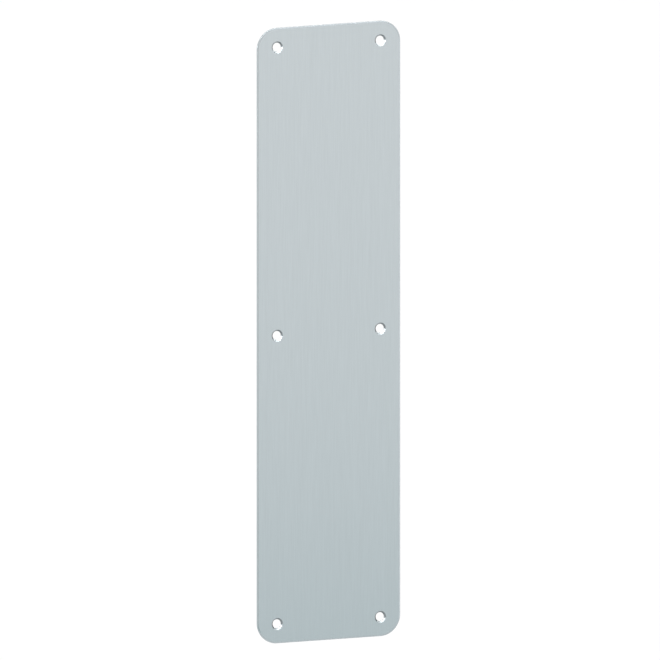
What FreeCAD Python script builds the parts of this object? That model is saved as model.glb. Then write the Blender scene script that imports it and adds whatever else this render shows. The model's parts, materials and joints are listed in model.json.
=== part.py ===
import FreeCAD, Part
import math
import os

# Door finger plate, also called a push plate: one flat sheet of stainless steel, screwed to the
# face of a door where hands push it. It is a tall rectangle with rounded corners, a thin bevel
# round its front face, and six screw holes, countersunk from the front for flat-headed screws.
# The holes are in two columns and three rows, and the middle row is at half the height.
#
# Frame, in millimetres: X runs across the plate, Z up it, and Y through its thickness. The back
# face lies on the door in the plane Y = 0, the front face looks along -Y, and the origin is the
# centre of the back face.

# The sheet
plate_width = 101.6
plate_height = 406.4
sheet_thickness = 1.27
corner_radius = 14.0

# The bevel round the front face: how far it runs in over the face, and how deep it is at the rim
bevel_width = 0.9
bevel_depth = 0.45

# The screw holes, from the plate's side and end edges to the hole centres
hole_side_inset = 14.2
hole_end_inset = 12.8
screw_hole_diameter = 5.8
countersink_mouth_diameter = 7.8
countersink_angle = 82.0

# How far a cutting tool runs out past the face that it cuts
tool_overrun = 1.0

back_plane = 0.0
front_plane = back_plane - sheet_thickness


def rounded_outline(width, height, radius, plane):
    """A closed wire: a rectangle with round corners, centred on the Y axis in the plane Y = plane."""
    half_width = width / 2
    half_height = height / 2
    diagonal = radius * math.sqrt(0.5)
    edges = []
    corners = ((1, 1), (-1, 1), (-1, -1), (1, -1))
    for number, (side, end) in enumerate(corners):
        centre_x = side * (half_width - radius)
        centre_z = end * (half_height - radius)
        on_side = FreeCAD.Vector(side * half_width, plane, centre_z)
        on_end = FreeCAD.Vector(centre_x, plane, end * half_height)
        middle = FreeCAD.Vector(centre_x + side * diagonal, plane, centre_z + end * diagonal)
        # The outline is walked one way round, so every second corner starts on the end edge.
        start, finish = (on_side, on_end) if side == end else (on_end, on_side)
        if number:
            edges.append(Part.LineSegment(previous, start).toShape())
        else:
            first = start
        edges.append(Part.Arc(start, middle, finish).toShape())
        previous = finish
    edges.append(Part.LineSegment(previous, first).toShape())
    return Part.Wire(edges)


def bevelled_sheet():
    """The sheet with its bevel: full size from the back to the bevel, then tapered to the front face."""
    bevel_plane = front_plane + bevel_depth
    back_outline = rounded_outline(plate_width, plate_height, corner_radius, back_plane)
    rim_outline = rounded_outline(plate_width, plate_height, corner_radius, bevel_plane)
    face_outline = rounded_outline(
        plate_width - 2 * bevel_width,
        plate_height - 2 * bevel_width,
        corner_radius - bevel_width,
        front_plane,
    )
    return Part.makeLoft([back_outline, rim_outline, face_outline], True, True)


def screw_hole_tool(centre_x, centre_z):
    """What one screw hole takes away: a drilled hole through the sheet, opened to a cone at the front."""
    half_angle = math.radians(countersink_angle / 2)
    hole_radius = screw_hole_diameter / 2
    mouth_radius = countersink_mouth_diameter / 2
    cone_depth = (mouth_radius - hole_radius) / math.tan(half_angle)
    outer_radius = mouth_radius + tool_overrun * math.tan(half_angle)
    cone_plane = front_plane + cone_depth
    tool_front = front_plane - tool_overrun
    tool_back = back_plane + tool_overrun
    profile = Part.makePolygon(
        [
            FreeCAD.Vector(centre_x, tool_back, centre_z),
            FreeCAD.Vector(centre_x + hole_radius, tool_back, centre_z),
            FreeCAD.Vector(centre_x + hole_radius, cone_plane, centre_z),
            FreeCAD.Vector(centre_x + outer_radius, tool_front, centre_z),
            FreeCAD.Vector(centre_x, tool_front, centre_z),
            FreeCAD.Vector(centre_x, tool_back, centre_z),
        ]
    )
    axis_point = FreeCAD.Vector(centre_x, 0, centre_z)
    return Part.Face(profile).revolve(axis_point, FreeCAD.Vector(0, 1, 0), 360)


def screw_hole_centres():
    """The holes' X and Z: a column near each side edge, and rows near both ends and halfway."""
    column = plate_width / 2 - hole_side_inset
    row = plate_height / 2 - hole_end_inset
    return [(x, z) for z in (row, 0, -row) for x in (-column, column)]


def finger_plate():
    """The finished plate, as one solid."""
    tools = [screw_hole_tool(x, z) for x, z in screw_hole_centres()]
    plate = bevelled_sheet().cut(Part.makeCompound(tools))
    return plate.Solids[0]


os.makedirs("parts", exist_ok=True)
finger_plate().exportStep("parts/finger_plate.step")
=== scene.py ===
import json
import math

import bmesh
import bpy
from mathutils import Matrix, Vector


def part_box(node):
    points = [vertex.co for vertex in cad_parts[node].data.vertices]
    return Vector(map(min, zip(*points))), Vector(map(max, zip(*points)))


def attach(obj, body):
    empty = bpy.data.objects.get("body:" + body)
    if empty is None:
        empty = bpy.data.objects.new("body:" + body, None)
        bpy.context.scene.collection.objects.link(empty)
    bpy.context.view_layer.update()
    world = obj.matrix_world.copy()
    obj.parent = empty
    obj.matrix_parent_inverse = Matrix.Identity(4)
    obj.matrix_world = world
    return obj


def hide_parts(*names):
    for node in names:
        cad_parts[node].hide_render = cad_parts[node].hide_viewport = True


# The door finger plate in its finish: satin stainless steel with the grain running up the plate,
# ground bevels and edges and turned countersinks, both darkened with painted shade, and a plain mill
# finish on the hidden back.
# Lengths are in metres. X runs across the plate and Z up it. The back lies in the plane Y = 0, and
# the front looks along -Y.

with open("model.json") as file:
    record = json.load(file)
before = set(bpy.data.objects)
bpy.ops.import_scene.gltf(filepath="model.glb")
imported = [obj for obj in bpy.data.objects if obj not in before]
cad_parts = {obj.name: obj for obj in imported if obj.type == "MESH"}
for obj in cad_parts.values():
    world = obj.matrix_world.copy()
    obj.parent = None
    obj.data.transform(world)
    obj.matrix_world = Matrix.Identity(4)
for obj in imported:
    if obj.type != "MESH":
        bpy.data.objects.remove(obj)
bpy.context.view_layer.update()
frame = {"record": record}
lowest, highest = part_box("finger_plate")
mounts = {mount["name"]: mount["dims"] for mount in frame["record"]["mounts"]}
corner_holes = mounts["corner_screw_holes"]

MM = 0.001

# The sheet, from the frame, and the forms that the frame doesn't name
PLATE_WIDTH = highest.x - lowest.x
PLATE_HEIGHT = highest.z - lowest.z
CORNER_RADIUS = 14.0 * MM
BEVEL_WIDTH = 0.9 * MM
BEVEL_DEPTH = 0.45 * MM

# The screw holes
COLUMN_SPACING = corner_holes["spacing_x_mm"] * MM
ROW_SPACING = corner_holes["spacing_y_mm"] * MM
COLUMNS = (-COLUMN_SPACING / 2, COLUMN_SPACING / 2)
ROWS = (ROW_SPACING / 2, 0, -ROW_SPACING / 2)
HOLE_CENTRES = [(x, z) for z in ROWS for x in COLUMNS]
HOLE_RADIUS = corner_holes["hole_r_mm"] * MM
MOUTH_RADIUS = 3.9 * MM
COUNTERSINK_ANGLE = math.radians(82)

# Planes across the sheet's thickness
BACK_PLANE = highest.y
FRONT_PLANE = lowest.y
RIM_PLANE = FRONT_PLANE + BEVEL_DEPTH
CONE_PLANE = FRONT_PLANE + (MOUTH_RADIUS - HOLE_RADIUS) / math.tan(COUNTERSINK_ANGLE / 2)

# How far the sharp edges are rounded: in the holes, between bevel and rim, and elsewhere
HOLE_ROUNDING = 0.03 * MM
RIM_ROUNDING = 0.01 * MM
EDGE_ROUNDING = 0.04 * MM

# How finely round things are divided
CORNER_SEGMENTS = 24
HOLE_SEGMENTS = 96
ROUNDING_SEGMENTS = 3

# Half the side of the square of sheet that each hole is opened in
PATCH = 6 * MM

# Edges that turn by more than the first are rounded, and those that turn by less than the second
# are shaded smoothly
SHARP_TURN = math.radians(15)
SMOOTH_TURN = math.radians(35)

# The share of a normal that lies along Y, from which a face counts as front or back
SQUARE_ON = 0.9999

# Points nearer than this are the same point
TOUCH = 1e-6


# The plate's form

def lies_in(part, plane):
    """Whether all of a face or an edge lies in the plane Y = plane."""
    return all(abs(vert.co.y - plane) < TOUCH for vert in part.verts)


def over_a_hole(point):
    """Whether a point lies in the sheet round a hole, seen from the front."""
    return any(math.hypot(point.x - x, point.z - z) < PATCH for x, z in HOLE_CENTRES)


def turn_outwards(bm):
    """Makes every face look out of the sheet, whose volume is negative while it is inside out."""
    bmesh.ops.recalc_face_normals(bm, faces=bm.faces[:])
    if bm.calc_volume(signed=True) < 0:
        bmesh.ops.reverse_faces(bm, faces=bm.faces[:])


def lay_blank(bm):
    """A flat face of the plate's outline in the back plane, with its corners rounded."""
    corners = [
        bm.verts.new((x * PLATE_WIDTH / 2, BACK_PLANE, z * PLATE_HEIGHT / 2))
        for x, z in ((-1, -1), (1, -1), (1, 1), (-1, 1))
    ]
    bmesh.ops.contextual_create(bm, geom=corners)
    bmesh.ops.bevel(
        bm,
        geom=corners,
        offset=CORNER_RADIUS,
        offset_type="OFFSET",
        affect="VERTICES",
        segments=CORNER_SEGMENTS,
        profile=0.5,
        material=-1,
    )


def score(bm, point, across):
    """A line over the whole blank, through a point and square to the direction across."""
    geom = bm.verts[:] + bm.edges[:] + bm.faces[:]
    bmesh.ops.bisect_plane(bm, geom=geom, plane_co=point, plane_no=across)


def score_patches(bm):
    """Lines on both sides of each column and row, which leave a square patch for each hole."""
    for side in (-PATCH, PATCH):
        for x in COLUMNS:
            score(bm, (x + side, 0, 0), (1, 0, 0))
        for z in ROWS:
            score(bm, (0, 0, z + side), (0, 0, 1))


def thicken_and_bevel(bm):
    """The blank drawn forward to the rim, then inset to the front face, which leaves the bevel."""
    drawn = bmesh.ops.extrude_face_region(bm, geom=bm.faces[:], use_keep_orig=True)
    moved = [part for part in drawn["geom"] if isinstance(part, bmesh.types.BMVert)]
    bmesh.ops.translate(bm, verts=moved, vec=(0, RIM_PLANE - BACK_PLANE, 0))
    turn_outwards(bm)
    bmesh.ops.inset_region(
        bm,
        faces=[face for face in bm.faces if lies_in(face, RIM_PLANE)],
        thickness=BEVEL_WIDTH,
        depth=BEVEL_DEPTH,
        use_even_offset=True,
        use_boundary=True,
    )


def face_over(bm, x, z, plane):
    """The face in the given plane whose middle is the nearest to a hole's axis."""
    centre = Vector((x, plane, z))
    return min(
        (face for face in bm.faces if lies_in(face, plane)),
        key=lambda face: (face.calc_center_median() - centre).length,
    )


def mark_disc(bm, x, z, plane, radius):
    """Divides the square patch round a hole, so that a disc of the given radius is in its middle."""
    rim = face_over(bm, x, z, plane).edges[:]
    bmesh.ops.bisect_edges(bm, edges=rim, cuts=HOLE_SEGMENTS // 4 - 1)
    spokes = bmesh.ops.poke(bm, faces=[face_over(bm, x, z, plane)])
    bmesh.ops.bevel(
        bm,
        geom=spokes["verts"],
        offset=radius,
        offset_type="OFFSET",
        affect="VERTICES",
        segments=1,
        profile=0.5,
        material=-1,
    )
    return face_over(bm, x, z, plane)


def sink(bm, disc, x, z, scale, depth):
    """Draws a disc into the sheet by depth, narrowing it by scale, and returns where it ends."""
    drawn = bmesh.ops.extrude_face_region(bm, geom=[disc])["geom"]
    bmesh.ops.delete(bm, geom=[disc], context="FACES_ONLY")
    verts = [part for part in drawn if isinstance(part, bmesh.types.BMVert)]
    to_axis = Matrix.Translation((-x, 0, -z))
    bmesh.ops.scale(bm, verts=verts, vec=(scale, 1, scale), space=to_axis)
    bmesh.ops.translate(bm, verts=verts, vec=(0, depth, 0))
    return next(part for part in drawn if isinstance(part, bmesh.types.BMFace))


def countersink(bm, x, z):
    """Opens one hole: its mouth in the front face, the cone, and the straight land to the back."""
    exit_disc = mark_disc(bm, x, z, BACK_PLANE, HOLE_RADIUS)
    bmesh.ops.delete(bm, geom=[exit_disc], context="FACES_ONLY")
    mouth = mark_disc(bm, x, z, FRONT_PLANE, MOUTH_RADIUS)
    cone_end = sink(bm, mouth, x, z, HOLE_RADIUS / MOUTH_RADIUS, CONE_PLANE - FRONT_PLANE)
    land_end = sink(bm, cone_end, x, z, 1, BACK_PLANE - CONE_PLANE)
    bmesh.ops.delete(bm, geom=[land_end], context="FACES_ONLY")
    bmesh.ops.remove_doubles(bm, verts=bm.verts[:], dist=TOUCH)


def rounding_of(edge):
    """How far an edge is rounded, by where it lies."""
    if over_a_hole(edge.verts[0].co):
        return HOLE_ROUNDING
    return RIM_ROUNDING if lies_in(edge, RIM_PLANE) else EDGE_ROUNDING


def round_edges(bm):
    """Takes the sharpness off every corner of the section, as tumbling and brushing do."""
    turn_outwards(bm)
    for rounding in (HOLE_ROUNDING, RIM_ROUNDING, EDGE_ROUNDING):
        sharp = [
            edge
            for edge in bm.edges
            if edge.calc_face_angle(0) > SHARP_TURN and rounding_of(edge) == rounding
        ]
        bmesh.ops.bevel(
            bm,
            geom=sharp,
            offset=rounding,
            offset_type="OFFSET",
            affect="EDGES",
            segments=ROUNDING_SEGMENTS,
            profile=0.5,
            material=-1,
        )


# The numbers of the plate's materials, in the order in which it is given them
FACE, EDGE, BORE, BACK = range(4)


def finish_of(face):
    """Which finish a face of the plate has, by where it lies."""
    if face.normal.y < -SQUARE_ON:
        return FACE
    if face.normal.y > SQUARE_ON:
        return BACK
    return BORE if over_a_hole(face.calc_center_median()) else EDGE


def place_in_ring(point, middle, x, z):
    """U and V of a point in a hole: out from the axis and into the sheet, and round the axis."""
    middle_angle = math.atan2(middle.z - z, middle.x - x)
    angle = math.atan2(point.z - z, point.x - x) - middle_angle
    # Within half a turn of the face's own middle, so that no face is mapped across the whole ring
    angle = (angle + math.pi) % (2 * math.pi) - math.pi + middle_angle
    return math.hypot(point.x - x, point.z - z) - point.y, angle * HOLE_RADIUS


def map_finish(bm):
    """Material, shading and the grain's map: U runs across the grain, and V along it."""
    grain = bm.loops.layers.uv.new("grain")
    for face in bm.faces:
        face.material_index = finish_of(face)
        face.smooth = face.material_index in (EDGE, BORE)
        middle = face.calc_center_median()
        x, z = min(HOLE_CENTRES, key=lambda hole: math.hypot(middle.x - hole[0], middle.z - hole[1]))
        for loop in face.loops:
            point = loop.vert.co
            if face.material_index == BORE:
                loop[grain].uv = place_in_ring(point, middle, x, z)
            else:
                loop[grain].uv = (point.x + point.y, point.z)
    for edge in bm.edges:
        edge.smooth = edge.calc_face_angle(0) < SMOOTH_TURN


def make_plate(finishes):
    """The whole plate as one closed mesh, with its finishes in the order of their numbers."""
    bm = bmesh.new()
    lay_blank(bm)
    score_patches(bm)
    thicken_and_bevel(bm)
    for x, z in HOLE_CENTRES:
        countersink(bm, x, z)
    round_edges(bm)
    turn_outwards(bm)
    map_finish(bm)
    mesh = bpy.data.meshes.new("satin_plate")
    bm.to_mesh(mesh)
    bm.free()
    for finish in finishes:
        mesh.materials.append(finish)
    plate = bpy.data.objects.new("satin_plate", mesh)
    bpy.context.scene.collection.objects.link(plate)
    return plate


# The finishes

STEEL = (0.555, 0.612, 0.640)

# Nearly all of a noise lies between these two
NOISE_LOW = 0.3
NOISE_HIGH = 0.7

# How much of the front's tone comes from the broad bands, and how far its shine is drawn out
BAND_SHARE = 0.1
GRAIN_PULL = 0.45


def new_finish(name):
    """A material with its shader, a function that adds a node and one that links two sockets."""
    finish = bpy.data.materials.new(name)
    finish.use_nodes = True
    tree = finish.node_tree
    shader = tree.nodes["Principled BSDF"]

    def add(kind, **settings):
        node = tree.nodes.new(kind)
        for key, value in settings.items():
            setattr(node, key, value)
        return node

    return finish, shader, add, tree.links.new


def stretched_noise(add, link, source, scale, detail=3.0):
    """Noise on the coordinates of source, with so many strokes to the metre along each of them."""
    mapping = add("ShaderNodeMapping")
    mapping.inputs["Scale"].default_value = scale
    link(source, mapping.inputs["Vector"])
    noise = add("ShaderNodeTexNoise")
    noise.inputs["Scale"].default_value = 1.0
    noise.inputs["Detail"].default_value = detail
    noise.inputs["Roughness"].default_value = 0.6
    link(mapping.outputs["Vector"], noise.inputs["Vector"])
    return noise.outputs["Fac"]


def spread(add, link, source, low, high):
    """A noise's middle range spread between two values."""
    node = add("ShaderNodeMapRange")
    node.inputs["From Min"].default_value = NOISE_LOW
    node.inputs["From Max"].default_value = NOISE_HIGH
    node.inputs["To Min"].default_value = low
    node.inputs["To Max"].default_value = high
    link(source, node.inputs["Value"])
    return node.outputs["Result"]


def tint(add, link, factor, dark, light):
    """A colour between dark and light by factor."""
    node = add("ShaderNodeMix", data_type="RGBA")
    node.inputs["A"].default_value = (*dark, 1)
    node.inputs["B"].default_value = (*light, 1)
    link(factor, node.inputs["Factor"])
    return node.outputs["Result"]


def relief(add, link, height, strength, distance):
    """The normal of a surface that stands out by a height."""
    node = add("ShaderNodeBump")
    node.inputs["Strength"].default_value = strength
    node.inputs["Distance"].default_value = distance
    link(height, node.inputs["Height"])
    return node.outputs["Normal"]


def steel_of(share):
    """The steel's colour, darker or lighter by a share."""
    return tuple(channel * share for channel in STEEL)


def dress_steel(shader, add, link, grain, tones, roughness, scratches, strength, distance):
    """Steel whose tone and roughness follow its grain, with scratches in relief.

    tones and roughness are pairs, for the low and the high parts of the grain. strength and
    distance are those of the relief.
    """
    shader.inputs["Metallic"].default_value = 1.0
    tone = spread(add, link, grain, 0.0, 1.0)
    link(tint(add, link, tone, *map(steel_of, tones)), shader.inputs["Base Color"])
    link(spread(add, link, grain, *roughness), shader.inputs["Roughness"])
    link(relief(add, link, scratches, strength, distance), shader.inputs["Normal"])


def satin_face():
    """The front: fine straight grain up the plate, in short strokes of slightly varied tone."""
    finish, shader, add, link = new_finish("satin_face")
    place = add("ShaderNodeTexCoord").outputs["Object"]
    strokes = stretched_noise(add, link, place, scale=(4200, 300, 45))
    bands = stretched_noise(add, link, place, scale=(320, 300, 7), detail=2.0)
    both = add("ShaderNodeMix", data_type="FLOAT")
    both.inputs["Factor"].default_value = BAND_SHARE
    link(strokes, both.inputs["A"])
    link(bands, both.inputs["B"])
    dress_steel(
        shader, add, link,
        grain=both.outputs["Result"],
        tones=(0.955, 1.03),
        roughness=(0.385, 0.305),
        scratches=strokes,
        strength=0.4,
        distance=0.003 * MM,
    )
    shader.inputs["Anisotropic"].default_value = GRAIN_PULL
    along = add("ShaderNodeTangent", direction_type="UV_MAP", uv_map="grain")
    link(along.outputs["Tangent"], shader.inputs["Tangent"])
    return finish


def ground_edge_painted_shade():
    """The bevel and the sheared rim: the same steel, ground lengthwise and a little darker with
    painted shade along the edges.
    """
    finish, shader, add, link = new_finish("ground_edge_painted_shade")
    place = add("ShaderNodeTexCoord").outputs["Object"]
    strokes = stretched_noise(add, link, place, scale=(900, 5200, 120))
    dress_steel(
        shader, add, link,
        grain=strokes,
        # These tones, below the face's, are painted shade along the bevels and rims
        tones=(0.77, 0.87),
        roughness=(0.30, 0.24),
        scratches=strokes,
        strength=0.3,
        distance=0.006 * MM,
    )
    return finish


def turned_countersink_painted_shade():
    """The holes' cones and lands: fine rings from the countersinking tool, darker than the face with
    painted shade of the holes' walls.
    """
    finish, shader, add, link = new_finish("turned_countersink_painted_shade")
    around = add("ShaderNodeUVMap", uv_map="grain").outputs["UV"]
    rings = stretched_noise(add, link, around, scale=(14000, 160, 1))
    dress_steel(
        shader, add, link,
        grain=rings,
        # These tones, about half the face's, are painted shade of the walls inside the holes
        tones=(0.42, 0.52),
        roughness=(0.36, 0.28),
        scratches=rings,
        strength=0.35,
        distance=0.006 * MM,
    )
    return finish


def mill_back():
    """The hidden back: the duller, slightly cloudy finish that the sheet came from the mill with."""
    finish, shader, add, link = new_finish("mill_back")
    place = add("ShaderNodeTexCoord").outputs["Object"]
    dress_steel(
        shader, add, link,
        grain=stretched_noise(add, link, place, scale=(60, 60, 22), detail=4.0),
        tones=(0.86, 0.94),
        roughness=(0.42, 0.36),
        scratches=stretched_noise(add, link, place, scale=(2600, 300, 30)),
        strength=0.2,
        distance=0.004 * MM,
    )
    return finish


# The camera: the photograph's view, which is parallel, from the plate's left and above its middle
VIEW_LEFT = math.radians(23.385)
VIEW_ABOVE = math.radians(9.195)
VIEW_SIZE = 430.3 * MM
VIEW_DISTANCE = 0.6

# Where the middle of the picture falls, from the middle of the plate's back
AIM_RIGHT = 1.22 * MM
AIM_UP = 1.20 * MM


def add_camera():
    """A parallel camera with the photograph's view of the plate."""
    outwards = Vector((
        -math.sin(VIEW_LEFT) * math.cos(VIEW_ABOVE),
        -math.cos(VIEW_LEFT) * math.cos(VIEW_ABOVE),
        math.sin(VIEW_ABOVE),
    ))
    right = Vector((math.cos(VIEW_LEFT), -math.sin(VIEW_LEFT), 0))
    up = outwards.cross(right)
    data = bpy.data.cameras.new("camera")
    data.type = "ORTHO"
    data.ortho_scale = VIEW_SIZE
    data.clip_start = 0.01
    data.clip_end = 100
    camera = bpy.data.objects.new("camera", data)
    camera.rotation_mode = "QUATERNION"
    camera.rotation_quaternion = Matrix((right, up, outwards)).transposed().to_quaternion()
    camera.location = right * AIM_RIGHT + up * AIM_UP + outwards * VIEW_DISTANCE
    bpy.context.scene.collection.objects.link(camera)
    bpy.context.scene.camera = camera


# The studio

# The world's light on everything but the metal, which mirrors plain white
WORLD_LIGHT = 0.85

# The floor, well below the plate, which hangs on a door, and the light that it adds of its own
FLOOR_LEVEL = -0.66
FLOOR_SIZE = 60.0
FLOOR_LIFT = 0.17

# Where the sun shines from, how strongly, and how wide it is
KEY_FROM = (-0.35, -0.3, 1.15)
KEY_STRENGTH = 0.6
KEY_SPREAD = math.radians(25)

# The softbox: width and height, place and the point that it looks at
SOFTBOX_SIZE = (2.0, 1.5)
SOFTBOX_PLACE = (0.35, -0.8, -0.14)
SOFTBOX_AIM = (0.35, 0, -0.14)

# Its light at a high and at a low place on its card, and how suddenly it falls from one to the other
SOFTBOX_HIGH = 0.6
SOFTBOX_LIGHT = (1.022, 1.001, 0.985)
SOFTBOX_LOW = -0.477
SOFTBOX_DARK = (0.099, 0.326, 0.352)
SOFTBOX_FALL = 5.0

# The other cards, which glow evenly: width and height, place, the point looked at, and glow
CARDS = {
    "top_strip": ((1.3, 0.52), (-0.45, -0.12, 1.0), (-0.45, -0.12, 0), 11),
    "top_strip_end": ((0.8, 0.38), (0.6, -0.05, 1.0), (0.6, -0.05, 0), 11),
    "left_strip": ((0.45, 1.0), (-1.1, -0.27, 0.6), (0, -0.27, 0.6), 11),
    "right_strip": ((0.35, 0.6), (1.0, 0.2, 0.72), (0, 0.2, 0.72), 6),
    "right_fill": ((0.3, 0.7), (1.2, -0.29, -0.19), (0, 0, 0), 1.5),
    "top_fill": ((0.7, 0.4), (0.47, -0.8, 0.98), (0, 0, 0.2), 1.28),
    "flag": ((0.68, 0.86), (1.0, 0.44, -0.22), (0, 0.44, -0.22), 0.15),
}


def seen_directly(tree):
    """One for the rays of the camera, of reflections and of clear materials, and nought for others."""
    rays = tree.nodes.new("ShaderNodeLightPath")
    seen = rays.outputs["Is Camera Ray"]
    for name in ("Is Glossy Ray", "Is Transmission Ray"):
        either = tree.nodes.new("ShaderNodeMath")
        either.operation = "MAXIMUM"
        tree.links.new(seen, either.inputs[0])
        tree.links.new(rays.outputs[name], either.inputs[1])
        seen = either.outputs[0]
    return seen


def add_world():
    """White for the camera and in reflections, and a plain soft light on everything else."""
    world = bpy.data.worlds.new("studio")
    world.use_nodes = True
    bpy.context.scene.world = world
    tree = world.node_tree
    tree.nodes.clear()
    light = tree.nodes.new("ShaderNodeBackground")
    light.inputs["Strength"].default_value = WORLD_LIGHT
    white = tree.nodes.new("ShaderNodeBackground")
    white.inputs["Strength"].default_value = 1.0
    for node in (light, white):
        node.inputs["Color"].default_value = (1, 1, 1, 1)
    mix = tree.nodes.new("ShaderNodeMixShader")
    output = tree.nodes.new("ShaderNodeOutputWorld")
    tree.links.new(seen_directly(tree), mix.inputs[0])
    tree.links.new(light.outputs[0], mix.inputs[1])
    tree.links.new(white.outputs[0], mix.inputs[2])
    tree.links.new(mix.outputs[0], output.inputs["Surface"])


def stage_plane(name, size, place, look_at, material):
    """A flat stage piece of the given width and height, at place and facing look_at."""
    bm = bmesh.new()
    bmesh.ops.create_grid(bm, x_segments=1, y_segments=1, size=0.5)
    bmesh.ops.scale(bm, vec=(*size, 1), verts=bm.verts[:])
    mesh = bpy.data.meshes.new(name)
    bm.to_mesh(mesh)
    bm.free()
    mesh.materials.append(material)
    plane = bpy.data.objects.new(name, mesh)
    plane.location = place
    plane.rotation_mode = "QUATERNION"
    plane.rotation_quaternion = (Vector(look_at) - Vector(place)).to_track_quat("Z", "Y")
    bpy.context.scene.collection.objects.link(plane)
    return plane


def add_floor():
    """A pale floor that takes the plate's shadow, and is lifted to white where it is seen directly."""
    finish, shader, add, link = new_finish("pale_floor")
    shader.inputs["Base Color"].default_value = (0.82, 0.82, 0.82, 1)
    shader.inputs["Roughness"].default_value = 0.9
    shader.inputs["Specular IOR Level"].default_value = 0.1
    shader.inputs["Emission Color"].default_value = (1, 1, 1, 1)
    lift = add("ShaderNodeMath", operation="MULTIPLY")
    lift.inputs[1].default_value = FLOOR_LIFT
    link(seen_directly(finish.node_tree), lift.inputs[0])
    link(lift.outputs[0], shader.inputs["Emission Strength"])
    below = Vector((0, 0, FLOOR_LEVEL))
    stage_plane("floor", (FLOOR_SIZE, FLOOR_SIZE), below, below + Vector((0, 0, 1)), finish)


def glowing(name):
    """A finish that only gives light, and the socket that takes the light's colour."""
    finish = bpy.data.materials.new(name)
    finish.use_nodes = True
    tree = finish.node_tree
    tree.nodes.clear()
    glow = tree.nodes.new("ShaderNodeEmission")
    output = tree.nodes.new("ShaderNodeOutputMaterial")
    tree.links.new(glow.outputs[0], output.inputs["Surface"])
    return finish, glow.inputs["Color"]


def even_glow(name, light):
    """A finish that glows white, and the same all over."""
    finish, colour = glowing(name)
    colour.default_value = (light, light, light, 1)
    return finish


def softbox_glow():
    """The softbox's light, which falls off downwards, the sooner the lower it gets."""
    finish, colour = glowing("softbox")
    tree = finish.node_tree
    place = tree.nodes.new("ShaderNodeTexCoord")
    split = tree.nodes.new("ShaderNodeSeparateXYZ")
    ramp = tree.nodes.new("ShaderNodeMapRange")
    ramp.inputs["From Min"].default_value = SOFTBOX_HIGH
    ramp.inputs["From Max"].default_value = SOFTBOX_LOW
    fall = tree.nodes.new("ShaderNodeMath")
    fall.operation = "POWER"
    fall.inputs[1].default_value = SOFTBOX_FALL
    mix = tree.nodes.new("ShaderNodeMix")
    mix.data_type = "RGBA"
    mix.inputs["A"].default_value = (*SOFTBOX_LIGHT, 1)
    mix.inputs["B"].default_value = (*SOFTBOX_DARK, 1)
    tree.links.new(place.outputs["Object"], split.inputs[0])
    tree.links.new(split.outputs["Y"], ramp.inputs["Value"])
    tree.links.new(ramp.outputs["Result"], fall.inputs[0])
    tree.links.new(fall.outputs[0], mix.inputs["Factor"])
    tree.links.new(mix.outputs["Result"], colour)
    return finish


def add_card(name, size, place, look_at, finish):
    """A card that is seen only in reflections, as the softboxes of a studio are."""
    card = stage_plane(name, size, place, look_at, finish)
    for ray in ("camera", "diffuse", "shadow", "transmission"):
        setattr(card, "visible_" + ray, False)


def add_cards():
    """What the metal mirrors besides the white world: a softbox before it, strips over its top and
    sides, fills for the right and top bevels, and a dark flag behind it."""
    add_card("softbox", SOFTBOX_SIZE, SOFTBOX_PLACE, SOFTBOX_AIM, softbox_glow())
    for name, (size, place, look_at, glow) in CARDS.items():
        add_card(name, size, place, look_at, even_glow(name, glow))


def add_key_light():
    """A soft sun from the upper left, which reaches the whole floor evenly."""
    data = bpy.data.lights.new("key_light", "SUN")
    data.energy = KEY_STRENGTH
    data.angle = KEY_SPREAD
    lamp = bpy.data.objects.new("key_light", data)
    lamp.rotation_mode = "QUATERNION"
    lamp.rotation_quaternion = Vector(KEY_FROM).to_track_quat("Z", "Y")
    bpy.context.scene.collection.objects.link(lamp)


add_camera()
add_world()
add_floor()
add_cards()
add_key_light()

plate = make_plate([satin_face(), ground_edge_painted_shade(), turned_countersink_painted_shade(), mill_back()])
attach(plate, "root")
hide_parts("finger_plate")

bpy.context.scene.view_settings.view_transform = "Standard"
